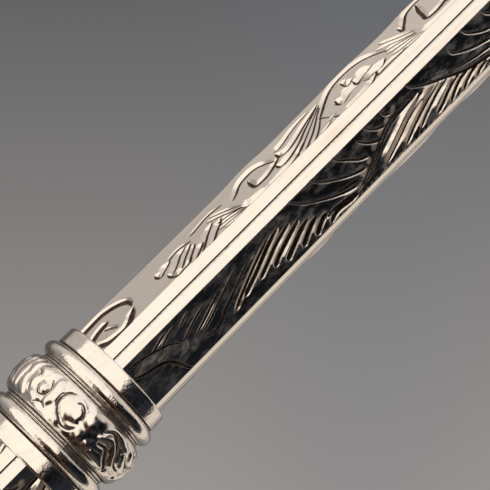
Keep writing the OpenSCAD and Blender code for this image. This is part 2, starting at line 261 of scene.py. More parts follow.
# rough: roughness where clean; mottle: how clouded; scratch, dented: strength of the scratches and dents;
# along: how many hairlines follow each other in a metre of the handle, so a small number draws them out
FINISHES = {
    "polished_silver": {"rough": 0.12, "mottle": 0.1, "scratch": 1.0, "along": 900, "dented": 0.25},
    "worn_silver": {"rough": 0.13, "mottle": 0.14, "scratch": 1.0, "along": 6000, "dented": 1.5},
    "engraved_silver": {"rough": 0.15, "mottle": 0.08, "scratch": 1.0, "along": 500, "dented": 0.0},
    "cast_silver": {"rough": 0.15, "mottle": 0.1, "scratch": 1.0, "along": 900, "dented": 0.3},
    "bell_silver": {"rough": 0.09, "mottle": 0.16, "scratch": 0.8, "along": 4000, "dented": 0.35},
    "wire_silver": {"rough": 0.18, "mottle": 0.4, "scratch": 1.2, "along": 4000, "dented": 0.5},
}
# finish of each CAD node that still shows, by a word in its name; the others are polished_silver
NODE_FINISH = {"pellet": "iron_shot", "crown": "bell_silver", "mouth": "bell_silver", "link": "wire_silver",
               "staples": "wire_silver", "ribbon": "worn_silver", "fork": "worn_silver"}


def fine_wear(n, coords, scratch, along, dented):
    """Height in mm of hairlines drawn out along the handle, pits and a slow waviness of the beaten sheet."""
    lengthwise = n.stretched(coords, (HAIRS, HAIRS, along), (0.02, 0.03, 0.0))
    hair = n.times(n.noise(lengthwise, 1.0, 2, 0.5), HAIR_DEPTH * scratch)
    pits = n.times(n.ramp01(n.noise(coords, PITS, 3, 0.6), 0.66, 0.8), -PIT_DEPTH * scratch)
    wave = n.times(n.noise(coords, WAVES, 2, 0.5), WAVE_DEPTH)
    dents = n.times(n.noise(coords, DENTS, 3, 0.6), DENT_DEPTH * dented)
    return n.plus(n.plus(hair, pits), n.plus(wave, dents))


def silver(name, rough, mottle, scratch, along, dented):
    """Polished, worn silver. On a mesh, "cut" marks tarnish and painted shade in recesses,
    "frost" a matt ground, "patina" an aged face.
    """
    mat, n, bsdf, coords = new_material(name)
    bsdf.inputs["Specular IOR Level"].default_value = 0.2
    cut, frost, patina = (n.add("ShaderNodeAttribute", attribute_name=key).outputs["Fac"]
                          for key in ("cut", "frost", "patina"))
    blotch = n.noise(n.stretched(coords, (1.0, 1.0, 0.45)), BLOTCHES, 6, 0.66)
    speck = n.noise(coords, SPECKS, 4, 0.62)
    grit = n.math("SUBTRACT", speck, 0.5)
    # tarnish and painted shade darken every recess, unevenly at its edge
    tarnish_and_shade_mask = n.ramp01(n.plus(cut, n.times(grit, 0.7)), 0.25, 0.7)
    cloud = n.times(n.ramp01(blotch, 0.4, 0.72), n.plus(patina, mottle))
    drawn = n.noise(n.stretched(coords, (STREAKS, STREAKS, along / 4)), 1.0, 3, 0.6)
    clean = n.mix(n.times(n.ramp01(drawn, 0.5, 0.72), 0.4), n.mix(blotch, *CLEAN), STREAK)
    ground = n.mix(frost, n.mix(cloud, clean, PATINA), MATT)
    uneven = n.ramp01(speck, 0.42, 0.62)
    recess = n.mix(patina, n.mix(uneven, *TARNISH_AND_SHADE), n.mix(uneven, *BLACK_TARNISH_AND_SHADE))
    n.wire(n.mix(tarnish_and_shade_mask, ground, recess), bsdf.inputs["Base Color"])
    n.wire(n.rest(n.times(tarnish_and_shade_mask, 0.9)), bsdf.inputs["Metallic"])
    dull = n.plus(n.plus(rough, n.times(grit, 0.12)), n.times(cloud, 0.34))
    dull = n.plus(dull, n.times(frost, 0.34))
    n.wire(n.math("ADD", dull, n.times(tarnish_and_shade_mask, 0.32), clamp=True), bsdf.inputs["Roughness"])
    n.bump(fine_wear(n, coords, scratch, along, dented), MM, bsdf)
    return mat


def iron(name):
    """Dark iron with patches of rust."""
    mat, n, bsdf, coords = new_material(name)
    patches = n.noise(coords, RUST_PATCHES, 5, 0.6)
    rusty = n.ramp01(patches, 0.45, 0.7)
    n.wire(n.mix(rusty, IRON, RUST), bsdf.inputs["Base Color"])
    n.wire(n.rest(rusty), bsdf.inputs["Metallic"])
    n.wire(n.plus(0.35, n.times(patches, 0.4)), bsdf.inputs["Roughness"])
    n.bump(patches, MM * RUST_DEPTH, bsdf)
    return mat


def floor_material():
    mat, n, bsdf, coords = new_material("pale_floor")
    n.wire(n.mix(n.noise(coords, FLOOR_GRAIN, 4, 0.6), *FLOOR), bsdf.inputs["Base Color"])
    bsdf.inputs["Roughness"].default_value = 0.75
    return mat


# ---------------------------------------------------------------- light and camera
# Azimuths in degrees: 0 is towards -Y, in front of the rattle, and 90 towards +X.
CAMERA_AZ = -33.4
CAMERA_EL = -13.0
CAMERA_ROLL = 44.9
CAMERA_LENS = 104.5
SENSOR = 36.0
CAMERA_DISTANCE = 0.138  # m
AIM_HEIGHT = 16.7  # mm above the middle collar
FLOOR_R = 4.0  # m

SOFTBOX_EDGE = -9.4  # the softbox ends here and the dark room begins
SOFTBOX_AZ = (-118.4, SOFTBOX_EDGE)
DARK_AZ = (SOFTBOX_EDGE, 72.0)
CREAM_AZ = (66.0, 100.0)
BEHIND_AZ = (118.0, 172.0)
BACK_AZ = (156.0, 174.0)  # the wall darkens over this stretch on both sides
FOREGROUND_AZ = (-52.0, 72.0)  # a darker foreground below the horizon
BROWN_END = (10.0, 34.0)  # the foreground's brown turns grey over this stretch


def linear(r, g, b):
    """Scene-linear colour of an sRGB triple in 0..255."""
    def one(c):
        c /= 255
        return c / 12.92 if c <= 0.04045 else ((c + 0.055) / 1.055) ** 2.4
    return (one(r), one(g), one(b), 1.0)


def wall_colour(n, azimuth, z):
    """Grey wall, lighter upwards, with a cream strip, and darker at the back."""
    wall = n.mix(n.ramp01(z, -0.5, 0.5), linear(140, 134, 130), linear(204, 194, 186))
    wall = n.mix(n.between(azimuth, BEHIND_AZ, 12.0), wall, linear(118, 114, 112))
    wall = n.mix(n.between(azimuth, CREAM_AZ, 4.0), wall, linear(226, 212, 198))
    return n.mix(n.ramp01(n.math("ABSOLUTE", azimuth), *BACK_AZ), wall, linear(88, 85, 83))


def studio_colour(n, direction):
    """A warm softbox, a dark room beside it, a wall all round and a darker, cluttered foreground below."""
    split = n.add("ShaderNodeSeparateXYZ")
    n.wire(direction, split.inputs[0])
    x, y, z = split.outputs
    azimuth = n.times(n.math("ARCTAN2", x, n.times(y, -1.0)), 180 / math.pi)
    clutter = n.noise(direction, 3.2, 3, 0.55)
    softbox = n.mix(n.ramp01(z, 0.0, 0.9), (1.22, 1.07, 0.93, 1), (1.0, 0.92, 0.86, 1))
    room = n.mix(n.ramp01(clutter, 0.48, 0.62), linear(11, 12, 15), linear(42, 46, 52))
    under = n.mix(n.ramp01(clutter, 0.5, 0.58), linear(30, 24, 22), linear(112, 78, 60))
    under = n.mix(n.ramp01(azimuth, *BROWN_END), under, linear(62, 57, 54))
    dark = n.times(n.between(azimuth, DARK_AZ, 3.5), n.rest(n.ramp01(z, 0.6, 0.8)))
    below = n.rest(n.ramp01(z, -0.42, -0.16))
    sky = n.mix(n.between(azimuth, SOFTBOX_AZ, 3.5), wall_colour(n, azimuth, z), softbox)
    return n.mix(n.times(below, n.between(azimuth, FOREGROUND_AZ, 12.0)), n.mix(dark, sky, room), under)


def backdrop_colour(n, window):
    """Grey sweep that darkens upwards and is cooler on the right of the picture."""
    split = n.add("ShaderNodeSeparateXYZ")
    n.wire(window, split.inputs[0])
    across, up, _ = split.outputs
    sweep = n.mix(up, linear(154, 150, 147), linear(100, 100, 101))
    cool = n.times(n.between(across, (0.55, 0.95), 0.35), 0.35)
    return n.mix(cool, sweep, linear(112, 116, 124))


def studio_world():
    """The object is lit by the studio and mirrors it; the camera sees only the plain backdrop."""
    world = bpy.data.worlds.new("studio")
    bpy.context.scene.world = world
    world.use_nodes = True
    n = Nodes(world.node_tree)
    coords = n.add("ShaderNodeTexCoord")
    both = n.add("ShaderNodeMixShader")
    n.wire(n.add("ShaderNodeLightPath").outputs["Is Camera Ray"], both.inputs[0])
    for socket, colour in ((both.inputs[1], studio_colour(n, coords.outputs["Generated"])),
                           (both.inputs[2], backdrop_colour(n, coords.outputs["Window"]))):
        background = n.add("ShaderNodeBackground")
        n.wire(colour, background.inputs["Color"])
        n.wire(background.outputs[0], socket)
    n.wire(both.outputs[0], n.add("ShaderNodeOutputWorld").inputs[0])


def floor():
    bpy.ops.mesh.primitive_circle_add(vertices=96, radius=FLOOR_R, fill_type="NGON", location=(0, 0, 0))
    obj = bpy.context.object
    obj.name = "studio_floor"
    obj.data.materials.append(floor_material())
    obj.visible_glossy = False


def camera():
    az, el, roll = (math.radians(v) for v in (CAMERA_AZ, CAMERA_EL, CAMERA_ROLL))
    target = Vector((0, 0, (COLLAR_TOP + AIM_HEIGHT) * MM))
    out = Vector((math.sin(az) * math.cos(el), -math.cos(az) * math.cos(el), math.sin(el)))
    level = Vector((math.cos(az), math.sin(az), 0))
    upright = out.cross(level)
    right = level * math.cos(roll) + upright * math.sin(roll)
    up = upright * math.cos(roll) - level * math.sin(roll)
    data = bpy.data.cameras.new("camera")
    data.lens, data.sensor_width = CAMERA_LENS, SENSOR
    data.clip_start = 0.005
    cam = bpy.data.objects.new("camera", data)
    bpy.context.scene.collection.objects.link(cam)
    turned = Matrix((right, up, out)).transposed().to_4x4()
    cam.matrix_world = Matrix.Translation(target + out * CAMERA_DISTANCE) @ turned
    bpy.context.scene.camera = cam


# ---------------------------------------------------------------- engraving
# A stroke is one graver cut: (points, bevel, floor). Points are (p, q) in mm on a flattened wide face, p up
# the handle from the collar and q across it, and run along the middle of the cut's floor, which is "floor" mm
# wide and painted black, tarnish with a painted shadow line. A bevel "bevel" mm wide climbs from it on the
# left of the direction of travel, and a short wall on its right.
CELL = 0.04
FACE_LONG = 60.0
P_START = -1.0
ROWS, COLS = int(FACE_LONG / CELL) + 1, int(2 * FACE_HALF / CELL) + 1

# bevel, floor: how much wider than drawn
# wall: width of the wall on the right, or depth below the face where the bevel stands up as a ridge
# slope: height of the bevel over its width
# ends: shares of the length over which a stroke swells and dies away
# ridge: the bevel stands up as a ridge
KINDS = {
    "leaf": {"bevel": 1.08, "floor": 1.3, "wall": 0.14, "slope": 0.31, "ends": (0.1, 0.22), "ridge": False},
    "loop": {"bevel": 0.8, "floor": 1.6, "wall": 0.25, "slope": 0.5, "ends": (0.02, 0.15), "ridge": False},
    "lobe": {"bevel": 1.0, "floor": 1.35, "wall": 0.1, "slope": 0.31, "ends": (0.06, 0.95), "ridge": False},
    "fan": {"bevel": 1.1, "floor": 1.1, "wall": 0.1, "slope": 0.5, "ends": (0.2, 0.4), "ridge": False},
    "line": {"bevel": 0.3, "floor": 1.1, "wall": 0.3, "slope": 0.3, "ends": (0.2, 0.3), "ridge": False},
    "vein": {"bevel": 0.6, "floor": 1.6, "wall": 0.05, "slope": 0.33, "ends": (0.2, 0.3), "ridge": True},
    "slot": {"bevel": 0.85, "floor": 1.6, "wall": 0.14, "slope": 0.375, "ends": (0.06, 0.25), "ridge": True},
    "flame": {"bevel": 1.2, "floor": 1.3, "wall": 0.14, "slope": 0.38, "ends": (0.1, 0.3), "ridge": True},
    "feather": {"bevel": 1.3, "floor": 1.15, "wall": 0.11, "slope": 0.25, "ends": (0.9, 0.04),
                "ridge": False},
}
RIDGE_FALL = 0.55  # how far out a ridge falls back to the face
RIDGE_FROST = 0.7  # how matt its slope is
EDGE_SOFT = 0.1  # width over which a matt edge fades
FLOOR_SHADE_SOFT = 0.06  # width over which the black of a cut, tarnish and painted shadow, fades
SLOT_WALLS = (4.0, 1 / 0.9)  # steepness of the left and right wall of a cut beside a ridge
MISSED = 9.0  # height, well over any face, for cells that a cut leaves alone


def spline(points, spacing=0.06):
    """Catmull-Rom curve through the points, sampled evenly: positions, unit tangents, share of the length."""
    pts = np.array(points, float)
    if len(pts) == 2:
        pts = np.array([pts[0], pts.mean(0), pts[1]])
    ext = np.vstack([2 * pts[0] - pts[1], pts, 2 * pts[-1] - pts[-2]])
    t = np.linspace(0, 1, 24, endpoint=False)[:, None]
    out = []
    for a, b, c, d in zip(ext, ext[1:], ext[2:], ext[3:]):
        bend = 2 * a - 5 * b + 4 * c - d
        out.append(0.5 * (2 * b + (c - a) * t + bend * t ** 2 + (3 * b - a - 3 * c + d) * t ** 3))
    curve = np.vstack(out + [pts[-1:]])
    length = np.concatenate([[0], np.cumsum(np.linalg.norm(np.diff(curve, axis=0), axis=1))])
    s = np.linspace(0, length[-1], max(3, int(length[-1] / spacing)))
    xy = np.stack([np.interp(s, length, curve[:, k]) for k in (0, 1)], 1)
    tan = np.gradient(xy, axis=0)
    tan /= np.linalg.norm(tan, axis=1)[:, None] + 1e-9
    return xy, tan, s / length[-1]


def nearest(P, Q, curve):
    """For each cell: signed distance to the curve, left positive, and the share of its length there."""
    best, side, at = np.full(P.shape, 1e9), np.zeros(P.shape), np.zeros(P.shape)
    for (x, y), (tx, ty), u in zip(*curve):
        dx, dy = P - x, Q - y
        d = dx * dx + dy * dy
        near = d < best
        best[near] = d[near]
        side[near] = (dy * tx - dx * ty)[near]
        at[near] = u
    return np.sqrt(best) * np.where(side > 0, 1, -1), at


def cells(curve, reach):
    """Rows i0 to i1 and columns j0 to j1 of the face that lie within reach of a curve."""
    (p0, q0), (p1, q1) = curve[0].min(0) - reach, curve[0].max(0) + reach
    i0, i1 = max(0, int((p0 - P_START) / CELL)), min(ROWS, int((p1 - P_START) / CELL) + 2)
    j0, j1 = max(0, int((q0 + FACE_HALF) / CELL)), min(COLS, int((q1 + FACE_HALF) / CELL) + 2)
    return i0, i1, j0, j1


def survey(stroke, kind):
    """Window of the face that a stroke touches, with distances, floor and bevel there; None if it misses."""
    points, bevel, floor_w = stroke
    bevel, floor_w = bevel * kind["bevel"], floor_w * kind["floor"]
    curve = spline(points)
    i0, i1, j0, j1 = cells(curve, bevel + floor_w + (RIDGE_FALL if kind["ridge"] else kind["wall"]))
    if i1 <= i0 or j1 <= j0:
        return None
    rows, cols = P_START + CELL * np.arange(i0, i1), CELL * np.arange(j0, j1) - FACE_HALF
    d, at = nearest(*np.meshgrid(rows, cols, indexing="ij"), curve)
    start, end = kind["ends"]
    taper = 0.25 + 0.75 * np.clip(np.minimum(at / start, (1 - at) / end), 0, 1) ** 0.7
    return (slice(i0, i1), slice(j0, j1)), d, taper, floor_w * taper / 2, bevel


def raise_ridge(maps, site, kind):
    window, d, taper, half, bevel = site
    rise = kind["slope"] * bevel * taper * np.clip((d - half) / bevel, 0, 1)
    rise *= 1 - smooth(d, half + bevel, half + bevel + RIDGE_FALL)
    maps["height"][window] = np.maximum(maps["height"][window], rise)
    slope = smooth(d, half, half + EDGE_SOFT) * (1 - smooth(d, half + bevel, half + bevel + EDGE_SOFT))
    maps["frost"][window] = np.maximum(maps["frost"][window], RIDGE_FROST * slope * taper)


def carve(maps, site, kind):
    window, d, taper, half, bevel = site
    if kind["ridge"]:
        left, right = SLOT_WALLS
        wall = np.where(d > 0, left * np.maximum(d - half, 0), right * np.maximum(-d - half, 0))
        cut = wall - kind["wall"] * taper
    else:
        climb = np.where(d > 0, (d - half) / (bevel * taper), (-d - half) / kind["wall"])
        cut = -kind["slope"] * bevel * taper * np.clip(1 - climb, 0, 1)
        cut = np.where(climb < 1, cut, MISSED)
    maps["height"][window] = np.minimum(maps["height"][window], cut)
    # black floor of the cut: tarnish and a painted shadow line along it
    tarnish_and_shade = 1 - smooth(np.abs(d), half, half + FLOOR_SHADE_SOFT)
    maps["dark"][window] = np.maximum(maps["dark"][window], tarnish_and_shade)


def engrave(maps, strokes, kind_name):
    """Raises all the ridges of a group first, then makes its cuts."""
    kind = KINDS[kind_name]
    sites = [site for site in (survey(stroke, kind) for stroke in strokes) if site]
    if kind["ridge"]:
        for site in sites:
            raise_ridge(maps, site, kind)
    for site in sites:
        carve(maps, site, kind)


def sample(grid, p, q):
    """Bilinear look-up of a map at face positions."""
    i = np.clip((p - P_START) / CELL, 0, ROWS - 1.001)
    j = np.clip((q + FACE_HALF) / CELL, 0, COLS - 1.001)
    a, b = i.astype(int), j.astype(int)
    u, v = i - a, j - b
    return ((grid[a, b] * (1 - u) + grid[a + 1, b] * u) * (1 - v)
            + (grid[a, b + 1] * (1 - u) + grid[a + 1, b + 1] * u) * v)


def moved(strokes, dp):
    """The same strokes further along the face."""
    return [([(p + dp, q) for p, q in points], bevel, floor_w) for points, bevel, floor_w in strokes]


# --- scroll face: leaf loop, small acanthus, fans, C-scrolls and a flower under an arch
LOOP_LEAF = [
    ([(-0.8, 2), (1.5, 2.05), (2.6, 1.85), (3.6, 1.4), (4.2, 0.9), (4.42, 0.35), (4.3, -0.4)], 0.36, 0.3),
    ([(-0.8, -0.1), (0.2, 0.3), (1, 0.45), (1.7, 0.45)], 0.34, 0.32),
    ([(-0.8, -1.2), (0.2, -2.05), (1.3, -2.35), (2.2, -2.38), (3, -2), (3.6, -1.45),
      (4.2, -0.95)], 0.42, 0.36),
    ([(0.9, -0.1), (1.4, -0.6), (1.95, -1.35)], 0.3, 0.08),
]
SMALL_LEAF = [
    ([(7.85, 0.45), (7.95, -0.2), (8.2, -0.45), (8.8, -0.1), (9.9, 0.4)], 0.62, 0.2),
    ([(9.05, -1.5), (10, -0.88), (11, -0.05), (11.9, 0.3)], 0.55, 0.17),
    ([(8.55, -1.1), (8.75, -1.8), (9.2, -2.3), (9.9, -2.2), (10.8, -2.1), (11.6, -1.5)], 0.5, 0.2),
    ([(10, -1.9), (11, -1.02), (12, -0.3), (12.45, 0)], 0.42, 0.16),
    ([(10.7, -2.15), (11.5, -1.5), (12.3, -0.85), (12.65, -0.5)], 0.36, 0.15),
    ([(11, -2.85), (12, -2.12), (12.8, -1.6), (13.25, -1.3)], 0.5, 0.2),
    ([(12.4, -2.4), (13.3, -1.62), (14.2, -0.82), (15.35, -0.05)], 0.5, 0.18),
    ([(13.35, -2.85), (14, -2.32), (14.8, -1.62), (15.8, -0.95), (16.2, -0.55)], 0.55, 0.2),
    ([(9.9, 0.5), (10.4, 0.75), (11.2, 0.83), (12, 0.65), (12.7, 0.3)], 0.24, 0.14),
    ([(13.1, 1.05), (14.5, 1.28), (15.5, 1.43), (16.6, 1.33), (17.5, 1)], 0.24, 0.13),
]
FAN = [
    ([(15.1, 0.65), (16.2, -0.05), (17.2, -0.92), (18.15, -1.75)], 0.22, 0.14),
    ([(15.7, 0.95), (16.6, 0.3), (17.4, -0.42), (18.3, -1.5)], 0.22, 0.12),
    ([(15.6, -0.7), (16.8, -1.1), (17.6, -1.5), (18.35, -2)], 0.2, 0.13),
    ([(15.1, -1.3), (16.3, -1.5), (17.3, -1.82), (18.3, -2.2)], 0.2, 0.13),
    ([(15, -1.8), (16.2, -2), (17.5, -2.2), (18.6, -2.42)], 0.19, 0.12),
    ([(15.5, -2.38), (16.8, -2.5), (18.2, -2.55)], 0.18, 0.12),
]
C_SCROLL = [
    ([(18.45, 0.2), (19.2, 0.7), (20, 1.25), (20.8, 1.48), (22.2, 1.45), (23, 1.12), (23.6, 0.55),
      (24, -0.05)], 0.46, 0.18),
    ([(20.85, 0.7), (20.75, 0), (20.82, -0.85), (22, -1), (23, -0.78), (24, -0.35), (24.7, 0)], 0.44, 0.26),
    ([(18.2, -1.9), (19.2, -2.5), (20.3, -2.72), (21.5, -2.84)], 0.8, 0.18),
    ([(21, -2.84), (23, -2.7), (25, -2.32), (26, -1.95), (27.2, -1.45)], 0.55, 0.22),
]
LOBES = [
    ([(24.95, 1.15), (25.6, 1.12), (26.5, 1.3), (27.5, 1.62), (28.7, 1.84), (30.4, 1.97)], 0.6, 0.2),
    ([(24.72, 0.75), (24.85, 0), (25.6, -0.28), (26.6, -0.08), (27.8, 0.37), (29, 0.85), (30.5, 1.32),
      (31.6, 1.7)], 0.68, 0.24),
    ([(23.6, -0.85), (23.85, -1.45), (24.8, -1.48), (26, -1.12), (27.2, -0.6), (28.5, 0.18),
      (29.8, 0.8), (31.2, 1.42)], 0.72, 0.28),
    ([(26.1, -1.8), (27.3, -1.3), (28.4, -0.6), (29.5, 0.1), (30.8, 0.92), (31.6, 1.4)], 0.32, 0.14),
    ([(25.5, -2.3), (26, -2.85), (26.8, -2.35), (27.8, -1.72), (28.7, -1.1), (29.6, -0.35),
      (30.6, 0.5), (31.4, 1.1)], 0.48, 0.2),
    ([(27, -2.85), (28, -2.4), (28.9, -1.75), (29.7, -1), (30.4, -0.3)], 0.44, 0.18),
    ([(28.6, -2.85), (29.6, -2.45), (30.4, -2.2)], 0.4, 0.14),
    ([(30.25, -0.35), (30.5, -0.9), (30.75, -1.6)], 0.15, 0.12),
    ([(31, -2), (31.3, -2.5), (31.9, -2.8)], 0.2, 0.14),
    ([(30.4, -1.85), (31.4, -1.8)], 0.3, 0.08),
]
FLOWER = [
    ([(30.2, -0.4), (31.2, 0.42), (32.2, 1.15), (33.4, 1.82), (34.5, 2.12), (35.8, 2.18), (37, 2.1),
      (38, 1.88), (38.8, 1.48), (39.5, 0.88), (40.1, 0.15), (40.25, -0.2)], 0.5, 0.2),
    ([(32.75, 0.1), (32.6, -0.7), (32.85, -1.2), (33.4, -1.05), (34.2, -0.75), (35.2, -0.64),
      (36, -0.9), (36.4, -1.55)], 0.95, 0.24),
    ([(34.85, 1.5), (34.9, 0.55), (35.8, 0.6)], 0.6, 0.14),
    ([(35.55, 0.3), (35.62, -0.32), (36.4, -0.22), (37.2, -0.06), (38, -0.05)], 0.85, 0.18),
    ([(36.75, -1.45), (37.3, -1.12), (38, -1.36), (38.6, -1.3), (39.2, -0.95)], 0.85, 0.2),
    ([(37.45, -1.4), (37.2, -2.1), (38.2, -2.1), (39.4, -2.1), (41, -2.3)], 0.4, 0.18),
    ([(31.9, -2.8), (33.5, -2.84), (35.2, -2.65), (36.3, -2.25), (37.25, -1.72)], 0.6, 0.2),
]
FAN_2 = [
    ([(39.9, 1.15), (41, 0.48), (42, -0.42), (43.3, -1.45)], 0.3, 0.15),
    ([(40.7, 1.75), (42, 0.42), (43, -0.58), (43.5, -1.05)], 0.28, 0.15),
    ([(40, -0.08), (41, -0.35), (42, -0.9), (43.2, -1.65)], 0.22, 0.13),
    ([(39.8, -0.58), (41, -1.05), (42, -1.4), (43.2, -1.85)], 0.22, 0.13),
    ([(39.9, -1.48), (41, -1.75), (42, -1.95), (43.3, -2.15)], 0.22, 0.13),
    ([(41, -2.25), (42, -2.4), (43.4, -2.5)], 0.2, 0.13),
]
C_SCROLL_2 = [
    ([(43.12, 1.35), (43.2, 0.42), (43.6, 0.85), (44.3, 1.4), (45, 1.95), (46, 2.22), (47.4, 2.28),
      (48.6, 2), (49.6, 1.2)], 0.52, 0.2),
    ([(46.5, 1.85), (46, 0.9), (45.7, 0), (45.4, -0.95), (46.2, -1.28), (47.5, -1.2), (48.8, -0.75),
      (49.4, -0.1)], 0.4, 0.28),
    ([(43.5, -2.35), (45, -2.7), (47, -2.82), (49, -2.7), (51, -2.1)], 0.72, 0.2),
]
SCROLL_PERIOD = 24.6
SCROLL = [(LOOP_LEAF, "loop"), (SMALL_LEAF, "leaf"), (FAN, "fan"), (C_SCROLL, "leaf"), (LOBES, "lobe"),
          (FLOWER, "leaf"), (FAN_2, "fan"), (C_SCROLL_2, "leaf"), (moved(LOBES[:7], SCROLL_PERIOD), "lobe")]

# --- fern face: stem by the collar, then leaves of black slots under sweeping feathers
FERN_STEM = [
    ([(-0.8, 2.4), (1, 2.12), (2.2, 1.8), (3.2, 1.4), (4, 1.1), (5, 0.25)], 0.3, 0.2),
    ([(-0.8, 1.3), (0.5, 0.7), (2, 0.28), (3, -0.3), (3.6, -1.2), (4, -2.2), (4.4, -2.6)], 0.5, 0.3),
    ([(7.2, -1.2), (8, -1.5), (9.2, -1.22), (10.4, -0.55), (12, 0.1)], 0.3, 0.26),
]
FERN_VEINS = [
    ([(2.3, 1.78), (3.3, 2.05), (4.3, 2.35)], 0.2, 0.14),
    ([(3.2, 1.42), (4.2, 1.85), (5.3, 2.3)], 0.2, 0.12),
    ([(5.7, 1.6), (6.4, 1.9), (7.2, 2.2)], 0.2, 0.12),
    ([(5.2, 0.22), (7, 0.95), (9, 1.62)], 0.18, 0.14),
    ([(6.4, -0.35), (8.5, 0.48), (10.4, 1.25), (11.6, 1.7)], 0.18, 0.15),
    ([(7, -0.62), (8.6, -0.15), (10, 0.5), (11.5, 1.12), (13.3, 1.9)], 0.18, 0.13),
    ([(9.8, -0.62), (12, 0.22), (14, 1.15), (15.6, 1.75)], 0.15, 0.1),
]
FERN_SLOTS = [
    ([(10.9, -1.6), (12.5, -0.68), (14.5, 0.32), (16.5, 1.22), (18.1, 1.95)], 0.36, 0.2),
    ([(12.45, -1.2), (14, -0.52), (15.5, 0.18), (17.5, 1.15), (19.1, 1.85)], 0.3, 0.26),
    ([(14.65, -1.05), (15.4, -0.72), (16.5, -0.2), (18, 0.5), (20.1, 1.2)], 0.3, 0.26),
    ([(16.55, -1.3), (17.3, -0.82), (18.7, -0.22), (20, 0.28), (21.1, 0.72)], 0.34, 0.3),
    ([(17.95, -1.8), (18.7, -1.38), (20, -0.75), (21, -0.3), (21.9, 0)], 0.34, 0.34),
    ([(20.05, -1.95), (20.9, -1.4), (22, -0.82), (22.9, -0.5)], 0.36, 0.34),
    ([(21.85, -2.15), (22.5, -1.7), (23.3, -1.28), (24, -1.08)], 0.34, 0.34),
    ([(23.7, -2.35), (24.4, -2), (25.3, -1.88), (26.8, -2.1), (27.8, -2.15)], 0.3, 0.28),
]
FEATHERS = [
    ([(21.35, 2.9), (21.85, 2.15), (22.8, 1.28), (24, 0.48), (25.5, -0.42), (27, -1.1),
      (28.1, -1.42)], 0.34, 0.2),
    ([(24.35, 2.9), (24.68, 2.32), (25.5, 1.58), (26.8, 0.68), (28, 0), (29.2, -0.5),
      (29.9, -0.6)], 0.34, 0.2),
    ([(27.45, 2.9), (27.9, 2.15), (28.9, 1.28), (29.8, 0.5), (30.7, 0.1)], 0.32, 0.2),
    ([(30.4, 2.35), (31.2, 1.38), (32, 0.78), (32.8, 0.4)], 0.3, 0.22),
    ([(31.8, 2.75), (32.4, 2.08), (33, 1.58), (33.8, 1.25)], 0.28, 0.18),
    ([(34.15, 2.65), (34.4, 2.15), (35, 1.78)], 0.26, 0.16),
]
SHADOWS = [
    ([(26, -0.35), (27.5, -0.72), (29, -1.12)], 0.3, 0.3),
    ([(24, -1.35), (26, -1.55), (27.9, -1.9)], 0.26, 0.3),
    ([(27.9, -1.92), (29, -1.52), (30, -1.05), (31, -0.52), (32, 0.08), (33, 0.68), (34, 1.12),
      (35, 1.38), (36.3, 1.5), (37.4, 1.45)], 0.2, 0.16),
]
MIDRIB = [
    ([(28, -2.15), (29.5, -1.72), (31, -0.98), (32.5, -0.08), (33.5, 0.47), (34.5, 0.83),
      (35.5, 1.03), (37, 1.15), (38.6, 1.3)], 0.16, 0.2),
]
FERN_LOBES = [
    ([(32, -2.1), (33.5, -1.52), (35, -0.88), (36.5, -0.22), (38.5, 0.4)], 0.55, 0.16),
    ([(34.7, -2.2), (35.5, -1.85), (36.5, -1.35), (38, -0.72), (39.5, -0.18), (41.2, 0.33)], 0.55, 0.22),
    ([(37.05, -2.05), (38.2, -1.4), (39.5, -0.85), (40.7, -0.4), (42.1, -0.05)], 0.42, 0.22),
    ([(39.3, -2.25), (40.3, -1.92), (41.5, -1.32), (42.8, -0.82), (43.6, -0.7)], 0.4, 0.28),
    ([(41.3, -2.45), (42.2, -1.85), (43.4, -1.28), (44.6, -1.1)], 0.4, 0.28),
    ([(43.2, -2.55), (43.9, -2.05), (45, -1.62), (45.9, -1.5)], 0.36, 0.26),
    ([(45, -2.6), (45.9, -2.15), (47, -1.9)], 0.32, 0.24),
]
FEATHERS_2 = [
    ([(37.95, 2.9), (38.2, 2.38), (39, 1.72), (40, 1.12), (41.5, 0.42), (43, -0.3), (44.5, -0.98),
      (46, -1.42), (47.8, -1.85)], 0.4, 0.24),
    ([(42.7, 0.45), (44, -0.1), (46, -0.68), (48.2, -1.05)], 0.4, 0.2),
    ([(43.85, 2.2), (44.05, 1.58), (45, 0.98), (46.5, 0.28), (48.5, -0.35)], 0.45, 0.22),
    ([(46.1, 2.75), (46.6, 2), (47.6, 1.28), (48.6, 0.75), (50, 0.3)], 0.42, 0.22),
    ([(49.1, 2.75), (49.5, 2.05), (50.3, 1.5), (51.6, 1)], 0.34, 0.2),
]
FERN_PERIOD = 20.2
FERN = [(FERN_STEM, "line"), (FERN_VEINS, "vein"), (FERN_SLOTS, "slot"), (FERN_LOBES, "flame"),
        (SHADOWS, "line"), (FEATHERS, "feather"), (MIDRIB, "feather"), (FEATHERS_2, "feather"),
        (moved(FERN_LOBES[:4], FERN_PERIOD), "flame"), (moved(MIDRIB + FEATHERS[4:], FERN_PERIOD), "feather")]

# matt patches between the feathers and the midrib, and along the flames, as (p, q, radius)
FROSTED = [(28.2, -1.75, 0.42), (29.35, -0.9, 0.5), (30.5, -0.3, 0.34), (31.75, 0.45, 0.42),
           (33.05, 1.1, 0.36), (34.3, 1.6, 0.34), (35.4, 1.9, 0.4), (39.6, 0.75, 0.55), (41.0, 0.3, 0.3)]
FROSTED += [(32.2 + 0.8 * k, -1.55 + 0.34 * k, 0.42) for k in range(8)]
FROSTED += [(35.4 + 0.8 * k, -1.5 + 0.34 * k, 0.34) for k in range(6)]
FROSTED += [(24.5 + 0.7 * k, -2.6, 0.3) for k in range(36)]
# worn, greyer metal along the round of the stem, as (p, q, radius)
SHEEN = [(0.2 + 0.8 * k, 1.5 - 0.05 * k * k, 0.55) for k in range(8)]
SHEEN_FROST = 0.45  # how matt it is
